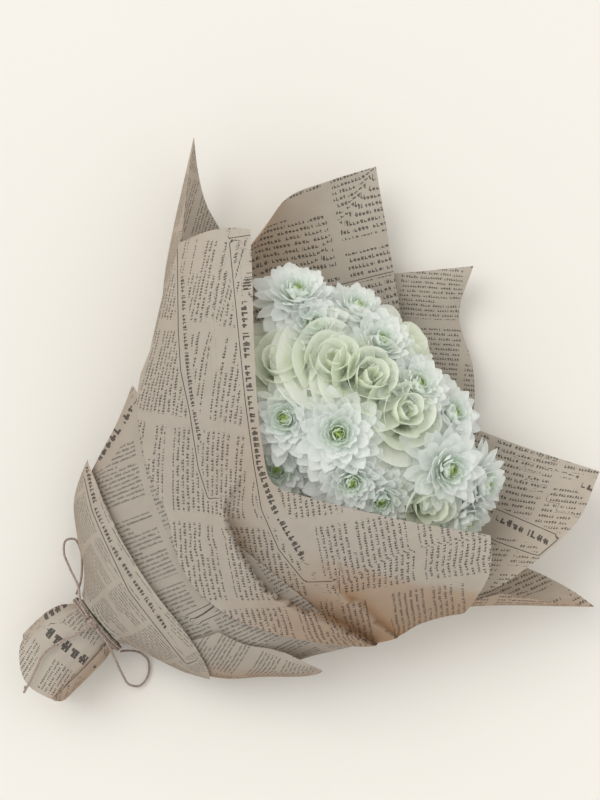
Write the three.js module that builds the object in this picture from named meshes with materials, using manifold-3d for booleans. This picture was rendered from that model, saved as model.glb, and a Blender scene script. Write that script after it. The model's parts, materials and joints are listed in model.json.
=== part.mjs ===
// A hand-tied bouquet of white spray chrysanthemums and white roses, wrapped in printed kraft paper
// and lying on its back. Millimetres, +Z up, +Y along the stems towards the blooms.
import * as THREE from "three";
import { mergeVertices } from "three/addons/utils/BufferGeometryUtils.js";
import Module from "manifold-3d";

const wasm = await Module();
wasm.setup();

// ---------------------------------------------------------------- driving dimensions
const NECK_HEIGHT = 30;          // the tied neck's centre line above the floor
const PAPER = 0.6;               // modelled thickness of one sheet
const STEM_RADIUS = 2;
const STEM_END = -68;            // where the stems are cut, below the neck at y = 0
const TWINE_RADIUS = 0.95;
const GAP = 0.3;                 // clearance between pieces that lie against each other
const NECK_PLACE = [4.5, -165.5, 0];   // the neck seen from the middle of the whole's footprint

const group = new THREE.Group();
group.position.set(...NECK_PLACE);

// ---------------------------------------------------------------- materials
const material = (color, roughness, side = THREE.FrontSide) =>
  new THREE.MeshStandardMaterial({ color, roughness, metalness: 0, side });
const KRAFT = material(0xb5a698, 0.85, THREE.DoubleSide);
const PETAL_WHITE = material(0xe4eeee, 0.6);
const PETAL_CREAM = material(0xe6ecd6, 0.6);
const STEM_GREEN = material(0x5f7d3a, 0.6);
const LEAF_GREEN = material(0x47662f, 0.6);
const TWINE_BROWN = material(0x97837c, 0.9);

// ---------------------------------------------------------------- helpers
const vec = (p) => new THREE.Vector3(p[0], p[1], p[2]);
const rad = THREE.MathUtils.degToRad;

// A smooth function through [x, value] pairs, held constant beyond its ends.
function through(pairs) {
  const slope = pairs.map((p, i) => {
    const a = pairs[Math.max(i - 1, 0)];
    const b = pairs[Math.min(i + 1, pairs.length - 1)];
    return (b[1] - a[1]) / (b[0] - a[0]);
  });
  return (x) => {
    if (x <= pairs[0][0]) return pairs[0][1];
    const last = pairs.length - 1;
    if (x >= pairs[last][0]) return pairs[last][1];
    const i = pairs.findIndex((p) => p[0] > x) - 1;
    const h = pairs[i + 1][0] - pairs[i][0];
    const t = (x - pairs[i][0]) / h;
    const [y0, y1] = [pairs[i][1], pairs[i + 1][1]];
    const [m0, m1] = [slope[i] * h, slope[i + 1] * h];
    return (2 * y0 - 2 * y1 + m0 + m1) * t ** 3 + (-3 * y0 + 3 * y1 - 2 * m0 - m1) * t ** 2 + m0 * t + y0;
  };
}

function geometryOf(points, triangles) {
  const geometry = new THREE.BufferGeometry();
  geometry.setAttribute("position", new THREE.Float32BufferAttribute(points.flatMap((p) => [p.x, p.y, p.z]), 3));
  geometry.setIndex(triangles.flat());
  let volume = 0;
  for (const [a, b, c] of triangles) {
    volume += points[a].dot(new THREE.Vector3().crossVectors(points[b], points[c]));
  }
  if (volume < 0) geometry.setIndex(triangles.flatMap(([a, b, c]) => [a, c, b]));
  geometry.computeVertexNormals();
  return geometry;
}

// A grid of mid-surface points becomes a thin closed solid of even thickness.
function thicken(grid, thickness) {
  const rows = grid.length;
  const columns = grid[0].length;
  const at = (i, j) => grid[Math.min(Math.max(i, 0), rows - 1)][Math.min(Math.max(j, 0), columns - 1)];
  const points = [];
  for (const side of [1, -1]) {
    for (let i = 0; i < rows; i += 1) {
      for (let j = 0; j < columns; j += 1) {
        const across = at(i, j + 1).clone().sub(at(i, j - 1));
        const along = at(i + 1, j).clone().sub(at(i - 1, j));
        const normal = across.cross(along).normalize();
        points.push(grid[i][j].clone().addScaledVector(normal, (side * thickness) / 2));
      }
    }
  }
  const top = (i, j) => i * columns + j;
  const low = (i, j) => rows * columns + i * columns + j;
  const triangles = [];
  for (let i = 0; i < rows - 1; i += 1) {
    for (let j = 0; j < columns - 1; j += 1) {
      triangles.push([top(i, j), top(i, j + 1), top(i + 1, j + 1)], [top(i, j), top(i + 1, j + 1), top(i + 1, j)]);
      triangles.push([low(i, j), low(i + 1, j + 1), low(i, j + 1)], [low(i, j), low(i + 1, j), low(i + 1, j + 1)]);
    }
  }
  const rim = [];
  for (let j = 0; j < columns - 1; j += 1) rim.push([0, j]);
  for (let i = 0; i < rows - 1; i += 1) rim.push([i, columns - 1]);
  for (let j = columns - 1; j > 0; j -= 1) rim.push([rows - 1, j]);
  for (let i = rows - 1; i > 0; i -= 1) rim.push([i, 0]);
  rim.forEach(([i, j], n) => {
    const [k, l] = rim[(n + 1) % rim.length];
    triangles.push([top(i, j), low(i, j), low(k, l)], [top(i, j), low(k, l), top(k, l)]);
  });
  return geometryOf(points, triangles);
}

const spline = (points) => new THREE.CatmullRomCurve3(points, false, "centripetal");

// Ribs of hand-placed points, smoothed along each rib and then across the ribs. The rib at
// the sheet's corner keeps its tip sharp.
function netGrid(ribs, along, between, corner) {
  const rails = ribs.map((rib) => spline(rib.map(vec)));
  const grid = [];
  for (let i = 0; i <= along; i += 1) {
    const points = rails.map((rail) => rail.getPoint(i / along));
    const row = [];
    for (const [from, to] of [[0, corner], [corner, ribs.length - 1]]) {
      const part = spline(points.slice(from, to + 1));
      const steps = (to - from) * between;
      for (let j = from === 0 ? 0 : 1; j <= steps; j += 1) row.push(part.getPoint(j / steps));
    }
    grid.push(row);
  }
  return grid;
}

function tube(points, radius, steps, sides = 8) {
  const ring = Array.from({ length: sides }, (_, i) => {
    const angle = (2 * Math.PI * i) / sides;
    return new THREE.Vector2(radius * Math.cos(angle), radius * Math.sin(angle));
  });
  const path = spline(points.map(vec));
  return new THREE.ExtrudeGeometry(new THREE.Shape(ring), { steps, bevelEnabled: false, extrudePath: path });
}

function solidOf(geometry) {
  const bare = geometry.clone();
  bare.deleteAttribute("normal");
  bare.deleteAttribute("uv");
  const merged = mergeVertices(bare, 1e-4);
  const vertProperties = new Float32Array(merged.attributes.position.array);
  const triVerts = new Uint32Array(merged.index.array);
  return new wasm.Manifold(new wasm.Mesh({ numProp: 3, vertProperties, triVerts }));
}

function geometryFrom(solid) {
  const mesh = solid.getMesh();
  const geometry = new THREE.BufferGeometry();
  geometry.setAttribute("position", new THREE.Float32BufferAttribute(mesh.vertProperties, 3));
  geometry.setIndex(Array.from(mesh.triVerts));
  geometry.computeVertexNormals();
  return geometry;
}

function add(name, geometry, piece) {
  const mesh = new THREE.Mesh(geometry, piece);
  mesh.name = name;
  group.add(mesh);
}

// ---------------------------------------------------------------- the wrap's bell shape
// Half widths to the left and right, and heights, at each distance from the neck, for layer 0.
const widthLeft = through([[0, 20], [15, 33], [25, 51], [40, 73], [60, 87], [80, 96], [110, 108],
  [140, 124], [165, 141], [220, 181], [265, 217], [305, 249], [400, 326]]);
const widthRight = through([[0, 15], [11, 38], [22, 58], [40, 82], [60, 98], [80, 108], [109, 119],
  [127, 128], [148, 138], [170, 148], [193, 152], [223, 167], [265, 203], [309, 241], [400, 310]]);
const heightTop = through([[0, 46], [15, 57], [30, 69], [50, 81], [77, 95], [120, 115], [176, 138],
  [240, 152], [300, 150], [400, 130]]);
const heightMid = through([[0, 30], [30, 36], [100, 50], [200, 60], [400, 55]]);
const heightLow = through([[0, 14], [20, 11], [50, 9], [400, 9]]);

// A point on layer k: bearing 0 is the top, +90 the left silhouette, -90 the right one.
function bell(bearing, y, layer) {
  const k = layer * (0.6 + 0.4 * Math.min(Math.max(y / 20, 0), 1));
  const width = (bearing > 0 ? widthLeft(y) : widthRight(y)) + k;
  const c = Math.cos(rad(bearing));
  const mid = heightMid(y);
  const z = c > 0 ? mid + c * (heightTop(y) + k - mid) : mid + c * (mid - heightLow(y) + k);
  return new THREE.Vector3(-width * Math.sin(rad(bearing)), y, z);
}

// Columns of [bearing, near y, far y], joined by straight lines in the unrolled sheet.
function bellGrid(columns, along, between, layer) {
  const grid = Array.from({ length: along + 1 }, () => []);
  columns.slice(0, -1).forEach((column, n) => {
    const next = columns[n + 1];
    const last = n === columns.length - 2;
    for (let s = 0; s < between + (last ? 1 : 0); s += 1) {
      const t = s / between;
      const [bearing, near, far] = column.map((value, i) => value + t * (next[i] - value));
      for (let i = 0; i <= along; i += 1) {
        const y = near + ((far - near) * i) / along;
        grid[i].push(bell(bearing, y, layer(bearing, y)));
      }
    }
  });
  return grid;
}

// ---------------------------------------------------------------- the paper sheets
const BACK_CENTRE = [
  [[-12, 0, 12.6], [-36, 50, 2], [-50, 110, -0.5], [-60, 200, -0.5], [-68, 290, -0.5], [-67, 357, 10]],
  [[-8, 0, 10.8], [-22, 50, 1.6], [-30, 110, -0.5], [-37, 200, -0.5], [-42, 296, -0.5], [-29, 411, 36]],
  [[-3, 0, 9.6], [-8, 50, 1.2], [-10, 110, -0.5], [-12, 200, -0.5], [-12, 294, -0.5], [-6, 378, 16]],
  [[3, 0, 9.6], [14, 50, 1.2], [20, 110, -0.5], [23, 200, -0.5], [26, 286, -0.5], [35, 358, 26]],
  [[8, 0, 10.8], [26, 50, 1.6], [38, 110, -0.5], [48, 200, -0.5], [56, 272, -0.5], [71, 326, 8]],
  [[12, 0, 12.6], [38, 50, 2], [54, 110, -0.5], [70, 190, -0.5], [78, 240, -0.5], [92, 280, 6]],
];
const backCentre = netGrid(BACK_CENTRE, 10, 2, 1);
backCentre.flat().forEach((point) => { point.z = Math.max(point.z, PAPER / 2); });
add("sheet_back_centre", thicken(backCentre, PAPER), KRAFT);

const BACK_LEFT = [
  [[-14, 0, 23.5], [-66, 80, 30], [-110, 170, 34], [-150, 250, 44], [-158, 296, 60]],
  [[-12.5, 0, 19], [-58, 80, 16], [-104, 180, 16], [-150, 280, 28], [-167, 330, 56]],
  [[-10, 0, 17], [-48, 80, 10.5], [-88, 180, 9.5], [-128, 290, 16], [-156, 366, 48]],
  [[-6, 0, 15.3], [-32, 80, 9], [-66, 180, 8.5], [-104, 290, 14], [-141, 402, 44]],
  [[-2, 0, 14.6], [-15, 80, 8.6], [-40, 180, 8.5], [-68, 280, 14], [-77, 365, 30]],
  [[3, 0, 14.6], [2, 80, 8.6], [-8, 180, 8.5], [-20, 270, 13], [-29, 335, 22]],
  [[7, 0, 15.6], [18, 80, 8.8], [20, 170, 8.8], [18, 240, 11], [14, 290, 14]],
];
add("sheet_back_left", thicken(netGrid(BACK_LEFT, 7, 2, 3), PAPER), KRAFT);

const SIDE_RIGHT = [
  [[-1, 0, 13.2], [8, 80, 5.8], [20, 170, 5.6], [48, 260, 8.5], [70, 326, 16]],
  [[5, 0, 13.6], [28, 80, 5.8], [50, 170, 5.8], [82, 260, 9], [112, 350, 26]],
  [[10, 0, 15.6], [52, 80, 7], [88, 180, 9], [122, 280, 24], [162, 381, 70]],
  [[14.5, 0, 20], [74, 80, 14], [114, 180, 24], [150, 260, 56], [179, 340, 96]],
  [[16.8, 0, 26], [90, 80, 34], [126, 150, 52], [158, 220, 80], [181, 284, 102]],
  [[16.6, 0, 34], [91, 75, 54], [120, 130, 78], [148, 190, 87], [173, 246, 103]],
  [[14, 0, 40.5], [80, 70, 66], [103, 110, 84], [120, 160, 101], [133, 210, 114]],
  [[9, 0, 45.2], [56, 65, 78], [71, 95, 91], [81, 130, 108], [90, 182, 128]],
];
add("sheet_right", thicken(netGrid(SIDE_RIGHT, 7, 2, 2), PAPER), KRAFT);

const SPIKE_RIGHT = [
  [[6, 0, 11.8], [34, 80, 3], [60, 150, 3.2], [92, 200, 3.4], [120, 240, 4.4]],
  [[12, 0, 14.6], [58, 80, 3.6], [96, 160, 5], [140, 240, 8], [181, 284, 16]],
  [[16.6, 0, 20], [84, 80, 10], [126, 160, 14], [168, 230, 22], [222, 303, 34]],
  [[18.6, 0, 27], [98, 80, 30], [140, 160, 34], [176, 226, 38], [245, 309, 40]],
  [[18.6, 0, 34], [99, 78, 48], [142, 155, 54], [168, 215, 58], [222, 288, 58]],
  [[17.6, 0, 39], [93, 75, 58], [138, 150, 68], [158, 200, 74], [186, 258, 76]],
];
add("sheet_spike_right", thicken(netGrid(SPIKE_RIGHT, 7, 2, 3), PAPER), KRAFT);

const SPIKE_LEFT = [
  [[-9, 0, 12.8], [-34, 80, 4], [-70, 170, 4.4], [-120, 230, 5], [-174, 272, 9]],
  [[-14, 0, 16.2], [-58, 80, 5.4], [-106, 170, 6], [-156, 230, 8], [-207, 278, 14]],
  [[-17.6, 0, 21.5], [-80, 78, 14], [-128, 170, 16], [-176, 225, 18], [-230, 289, 24]],
  [[-19.2, 0, 27.5], [-89, 75, 34], [-137, 165, 38], [-190, 222, 36], [-254, 305, 42]],
  [[-19.2, 0, 32.5], [-89, 75, 46], [-135, 160, 54], [-178, 212, 58], [-223, 272, 60]],
  [[-18.4, 0, 37], [-86, 74, 55], [-130, 150, 65], [-162, 192, 72], [-194, 242, 76]],
  [[-16.8, 0, 41], [-79, 70, 63], [-114, 126, 73], [-128, 150, 77], [-146, 176, 82]],
];
add("sheet_spike_left", thicken(netGrid(SPIKE_LEFT, 7, 2, 3), PAPER), KRAFT);

const COLLAR_INNER = [
  [112, 1, 105], [98, 1, 130], [84, 1, 138], [66, 1, 138], [45, 1, 130], [22, 1, 120],
  [0, 1, 120], [-22, 1, 130], [-45, 1, 138], [-66, 1, 140], [-84, 1, 140], [-98, 1, 132], [-112, 1, 110],
];
add("sheet_collar_inner", thicken(bellGrid(COLLAR_INNER, 6, 1, () => 9), PAPER), KRAFT);

const FRONT_BAND = [
  [72, 150, 240], [66, 138, 247], [58, 128, 259], [50, 119, 273], [41, 110, 290], [34, 105, 262],
  [27, 101, 235], [18, 96, 208], [10, 88, 190], [0, 79, 176], [-10, 75, 192], [-20, 77, 214],
  [-30, 82, 244], [-38, 90, 280], [-50, 104, 262], [-62, 122, 243], [-74, 140, 230], [-86, 152, 222], [-98, 160, 214],
];
const bandLayer = (bearing, y) => 12 - 5.5 * THREE.MathUtils.smoothstep(bearing, 40, 66)
  * THREE.MathUtils.smoothstep(y, 130, 180);
add("sheet_front_band", thicken(bellGrid(FRONT_BAND, 7, 1, bandLayer), PAPER), KRAFT);

const COLLAR_LOW = [
  [-34, 8, 66], [-46, 8, 76], [-58, 8, 90], [-70, 8, 98], [-82, 8, 96], [-94, 8, 84], [-106, 8, 66],
];
add("sheet_collar_low", thicken(bellGrid(COLLAR_LOW, 7, 1, () => 12.5), PAPER), KRAFT);

const COLLAR_OUTER = [
  [104, 2, 62], [90, 0, 72], [76, -2, 71], [60, -3, 68], [44, -4, 62], [26, -4, 55], [10, -4, 50],
  [-8, -4, 47], [-24, -4, 46], [-40, -4, 43], [-56, -3, 39], [-72, -2, 35], [-86, 0, 33], [-100, 2, 32],
];
add("sheet_collar_outer", thicken(bellGrid(COLLAR_OUTER, 6, 1, () => 16.5), PAPER), KRAFT);

// The handle: one sheet wound once round the stems below the tie, with shallow pleats.
function handleGrid() {
  const radius = through([[-80, 31.5], [-60, 31.5], [-35, 31.5], [-22, 29], [-14, 25.2], [-8, 24.4], [-5.5, 24.6]]);
  const shift = through([[-80, -2], [-60, -4], [-35, -6], [-20, -5], [-8, -2.5], [-5.5, -2.5]]);
  const columns = 30;
  return [0, 0.1, 0.22, 0.42, 0.7, 1].map((t) => {
    const row = [];
    for (let j = 0; j <= columns; j += 1) {
      const angle = (j / columns) * 2 * Math.PI * 1.06 - 1.2;
      const side = Math.sin(angle);
      const end = -80 + (side > 0 ? 20 : 12) * side * side;
      const y = -5.5 + (end + 5.5) * t;
      const pleat = 1 + 0.022 * t * Math.cos(7 * angle) - 0.02 * t * Math.cos(4 * angle + 1);
      const r = (radius(y) + (1.6 * j) / columns) * pleat - 1.6;
      row.push(new THREE.Vector3(shift(y) - r * side, y, NECK_HEIGHT + 2.6 * t + r * Math.cos(angle)));
    }
    return row;
  });
}
add("handle_wrap", thicken(handleGrid(), PAPER), KRAFT);

// ---------------------------------------------------------------- the blooms
// name, kind, centre of the open face, direction it faces, radius
const BLOOMS = [
  ["mum_1", "mum", [3, 240, 150], [0.02, 0.06, 1], 38],
  ["mum_2", "mum", [38, 224, 141], [0.3, -0.12, 0.95], 33],
  ["mum_3", "mum", [-32, 216, 139], [-0.2, -0.1, 1], 36],
  ["mum_4", "mum", [-6, 187, 122], [0, -0.32, 0.95], 35],
  ["mum_5", "mum", [-102, 286, 112], [-0.4, 0.55, 0.7], 34],
  ["mum_6", "mum", [-74, 280, 125], [-0.25, 0.3, 0.9], 30],
  ["mum_7", "mum", [80, 288, 126], [0.4, 0.3, 0.85], 38],
  ["mum_8", "mum", [108, 302, 98], [0.7, 0.5, 0.5], 32],
  ["mum_9", "mum", [120, 272, 98], [0.85, 0.15, 0.5], 32],
  ["mum_10", "mum", [49, 318, 106], [0.25, 0.7, 0.65], 33],
  ["mum_11", "mum", [64, 232, 130], [0.4, -0.15, 0.9], 33],
  ["mum_12", "mum", [14, 312, 126], [0.05, 0.6, 0.8], 32],
  ["mum_13", "mum", [-30, 312, 124], [-0.15, 0.6, 0.8], 32],
  ["mum_14", "mum", [-62, 314, 104], [-0.3, 0.75, 0.6], 33],
  ["mum_15", "mum", [-22, 326, 64], [-0.05, 1, 0.05], 33],
  ["mum_16", "mum", [84, 304, 66], [0.45, 0.85, 0.05], 32],
  ["rose_1", "rose", [-72, 242, 138], [-0.4, 0.1, 0.9], 34],
  ["rose_2", "rose", [-45, 276, 146], [-0.12, 0.35, 0.95], 33],
  ["rose_3", "rose", [-15, 291, 147], [0, 0.42, 0.9], 33],
  ["rose_4", "rose", [-14, 333, 100], [0.1, 0.95, 0.4], 32],
  ["rose_5", "rose", [94, 258, 128], [0.5, 0.05, 0.9], 32],
  ["rose_6", "rose", [24, 294, 143], [0.15, 0.4, 0.9], 33],
  ["rose_7", "rose", [-76, 300, 66], [-0.5, 0.8, 0], 32],
  ["rose_8", "rose", [32, 322, 64], [0.15, 1, 0.05], 32],
];
const MUM_DEPTH = 24;
const ROSE_DEPTH = 42;

// Half profiles as [share of the radius, height], from the calyx to the middle of the face.
const MUM_PROFILE = [[0, -24], [0.2, -20], [0.72, -9], [1, -1], [0.95, 4], [0.45, 6], [0, 2]];
const ROSE_PROFILE = [[0, -42], [0.24, -38], [0.64, -26], [0.94, -9], [1, 0], [0.75, 4], [0, 3]];

function bloomSolid(kind, centre, direction, radius) {
  const profile = kind === "mum" ? MUM_PROFILE : ROSE_PROFILE;
  const sides = kind === "mum" ? 12 : 10;
  const points = profile.map(([r, z]) => new THREE.Vector2(r * radius, z));
  const geometry = new THREE.LatheGeometry(points, sides);
  const position = geometry.attributes.position;
  for (let i = 0; i < position.count; i += 1) {
    const [x, y, z] = [position.getX(i), position.getY(i), position.getZ(i)];
    const angle = Math.atan2(x, z);
    const reach = Math.hypot(x, z) / radius;
    const lobes = kind === "mum" ? 0.05 * Math.cos(6 * angle) : 0.05 * Math.cos(5 * angle + y * 0.08);
    const scale = 1 + lobes * reach;
    position.setXYZ(i, x * scale, y, z * scale);
  }
  const turn = new THREE.Quaternion().setFromUnitVectors(new THREE.Vector3(0, 1, 0), direction);
  geometry.applyQuaternion(turn);
  geometry.translate(centre.x, centre.y, centre.z);
  return solidOf(geometry);
}

const blooms = BLOOMS.map(([name, kind, place, facing, radius]) => {
  const centre = vec(place);
  const direction = vec(facing).normalize();
  const depth = kind === "mum" ? MUM_DEPTH : ROSE_DEPTH;
  const base = centre.clone().addScaledVector(direction, -depth - GAP - 0.2);
  const heart = centre.clone().addScaledVector(direction, -8);
  return { name, kind, centre, direction, radius, base, heart };
});

// Blooms pressed together meet on the plane half way between them, with a small gap.
for (const bloom of blooms) {
  let solid = bloomSolid(bloom.kind, bloom.centre, bloom.direction, bloom.radius);
  for (const other of blooms) {
    const apart = bloom.heart.clone().sub(other.heart);
    if (other === bloom || apart.length() > bloom.radius + other.radius + 12) continue;
    const normal = apart.clone().normalize();
    const share = other.radius / (bloom.radius + other.radius);
    const middle = other.heart.clone().addScaledVector(apart, share);
    solid = solid.trimByPlane(normal.toArray(), middle.dot(normal) + GAP / 2);
  }
  const parts = solid.decompose().sort((a, b) => b.volume() - a.volume());
  add(bloom.name, geometryFrom(parts[0]), bloom.kind === "mum" ? PETAL_WHITE : PETAL_CREAM);
}

// ---------------------------------------------------------------- the stems
// A rose has a stem of its own; a spray of chrysanthemums branches from one stem.
const SPRAYS = [
  ["stem_spray_1", ["mum_1", "mum_2", "mum_4", "mum_11"]],
  ["stem_spray_2", ["mum_3", "mum_5", "mum_6"]],
  ["stem_spray_3", ["mum_7", "mum_10"]],
  ["stem_spray_4", ["mum_8", "mum_9", "mum_16"]],
  ["stem_spray_5", ["mum_12", "mum_13", "mum_14", "mum_15"]],
];
const byName = new Map(blooms.map((bloom) => [bloom.name, bloom]));
const stems = SPRAYS.map(([name, heads]) => ({ name, heads: heads.map((head) => byName.get(head)) }));
for (const bloom of blooms.filter((one) => one.kind === "rose")) {
  stems.push({ name: bloom.name.replace("rose", "stem_rose"), heads: [bloom] });
}

// Where each stem crosses the neck, from the bundle's centre, and how its middle bows, in x and z.
const CROSSINGS = {
  stem_spray_1: [[1.4, 10.1], [0, 2]],
  stem_spray_2: [[-9, 4.8], [-2, 4]],
  stem_spray_3: [[7.6, 5.2], [0, 5]],
  stem_spray_4: [[8.6, -4.4], [3, -4]],
  stem_spray_5: [[-4.6, 0.2], [0, 1]],
  stem_rose_1: [[-9.8, -0.3], [-3, -8]],
  stem_rose_2: [[-4, 8.8], [0, 0]],
  stem_rose_3: [[-2.4, 4.6], [0, 0]],
  stem_rose_4: [[-1.6, -4.6], [3, -8]],
  stem_rose_5: [[10.2, 0.4], [4, -6]],
  stem_rose_6: [[2.6, 4.4], [2, -2]],
  stem_rose_7: [[-6.6, -4.8], [-2, -2]],
  stem_rose_8: [[3.4, -4.8], [2, -4]],
};

const FORK = 0.42;               // share of the way from the neck to the blooms where a spray forks
for (const stem of stems) {
  const [[across, up], [bowX, bowZ]] = CROSSINGS[stem.name];
  const neck = [across, 0, NECK_HEIGHT + up];
  const foot = [across * 1.1 - 2, STEM_END, NECK_HEIGHT + 1 + up * 1.1];
  const bow = new THREE.Vector3(bowX, 0, bowZ);
  const single = stem.heads.length === 1;
  const middle = new THREE.Vector3();
  stem.heads.forEach((head) => middle.addScaledVector(head.base, 1 / stem.heads.length));
  const fork = vec(neck).lerp(middle, FORK).add(bow).toArray();
  let solid = null;
  for (const head of stem.heads) {
    const short = head.base.clone().addScaledVector(head.direction, -10).toArray();
    const path = single
      ? [foot, neck, vec(neck).lerp(head.base, 0.5).add(bow).toArray(), short, head.base.toArray()]
      : [fork, vec(fork).lerp(vec(short), 0.5).toArray(), short, head.base.toArray()];
    const branch = solidOf(tube(path, single ? STEM_RADIUS : STEM_RADIUS * 0.75, single ? 9 : 5, 6));
    solid = solid ? solid.add(branch) : branch;
  }
  if (!single) {
    const past = vec(neck).lerp(middle, FORK + 0.015).add(bow).toArray();
    solid = solid.add(solidOf(tube([foot, neck, fork, past], STEM_RADIUS, 6, 6)));
  }
  add(stem.name, geometryFrom(solid), STEM_GREEN);
}

// ---------------------------------------------------------------- the leaves
// name, stalk end, tip, half width, direction the face looks
const LEAVES = [
  ["leaf_1", [26, 174, 92], [44, 200, 113], 9, [0.2, -0.3, 1]],
  ["leaf_2", [-74, 200, 78], [-112, 240, 84], 11, [-0.5, -0.2, 1]],
  ["leaf_3", [78, 205, 63], [112, 240, 58], 11, [0.4, -0.2, 1]],
  ["leaf_4", [-34, 230, 44], [-58, 282, 30], 11, [-0.2, 0.5, -1]],
];
function leafGrid(stalk, tip, half, facing) {
  const axis = tip.clone().sub(stalk);
  const across = axis.clone().cross(facing).normalize();
  const up = across.clone().cross(axis).normalize();
  const grid = [];
  for (let i = 0; i <= 6; i += 1) {
    const t = i / 6;
    const width = half * (0.12 + 0.88 * Math.sin(Math.PI * t ** 0.8)) * (i === 6 ? 0.3 : 1);
    const row = [];
    for (let j = -2; j <= 2; j += 1) {
      const lift = -0.25 * Math.abs(j / 2) * width - 4 * t * t;
      row.push(stalk.clone().addScaledVector(axis, t).addScaledVector(across, (width * j) / 2)
        .addScaledVector(up, lift));
    }
    grid.push(row);
  }
  return grid;
}
for (const [name, stalk, tip, half, facing] of LEAVES) {
  add(name, thicken(leafGrid(vec(stalk), vec(tip), half, vec(facing)), 0.8), LEAF_GREEN);
}

// ---------------------------------------------------------------- the twine
const BIND_Y = -8.7;
const BIND_TURNS = 2;
function bindingPath() {
  const points = [];
  const steps = 14 * BIND_TURNS;
  for (let i = 0; i <= steps; i += 1) {
    const angle = (i / 14) * 2 * Math.PI + 0.35;
    const r = 26.9;
    const y = BIND_Y + 2.3 * (i / 14 - BIND_TURNS / 2);
    points.push([-2.5 - r * Math.sin(angle), y, NECK_HEIGHT + r * Math.cos(angle)]);
  }
  return points;
}
add("twine_binding", tube(bindingPath(), TWINE_RADIUS, 14 * BIND_TURNS), TWINE_BROWN);

const knot = new THREE.SphereGeometry(1, 10, 7);
knot.scale(4.4, 3.6, 2.8);
knot.translate(-6, -9, 60.6);
add("twine_knot", knot, TWINE_BROWN);

const LOOP_LEFT = [[-11.5, -8.5, 61], [-24, -6, 55], [-36, 0, 40], [-52, 3, 24], [-65, 7, 14], [-71, 14, 10],
  [-67, 20, 9], [-57, 18, 10], [-48, 12, 14], [-38, 3, 22], [-32, -6, 30]];
add("twine_loop_left", tube(LOOP_LEFT, TWINE_RADIUS, 24), TWINE_BROWN);

const LOOP_RIGHT = [[-0.6, -9.5, 61.4], [12, -10, 58], [26, -14, 44], [42, -20, 22], [53, -22, 8], [59, -16, 4],
  [56, -5, 3], [47, 2, 4], [38, 1, 8], [31, -4, 15], [27, -9, 22]];
add("twine_loop_right", tube(LOOP_RIGHT, TWINE_RADIUS, 26), TWINE_BROWN);

const TAIL = [[-6, -14, 61.8], [-7, -22, 63.4], [-11, -38, 66], [-12, -54, 66.4], [-7, -66, 67.6], [-2, -77, 67.6],
  [1, -86, 59], [1, -87, 40], [-1, -87, 24]];
add("twine_tail", tube(TAIL, TWINE_RADIUS, 24), TWINE_BROWN);

export default group;
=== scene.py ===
# %% [markdown]
# # A wrapped bouquet of white chrysanthemums and roses
#
# The bouquet lies on its back and is seen from straight above. This script adds the fine surface to the
# frame: printed kraft paper with folds, a head of petals modelled one by one, and twisted twine.

# %%
import json
import math
import random

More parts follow.
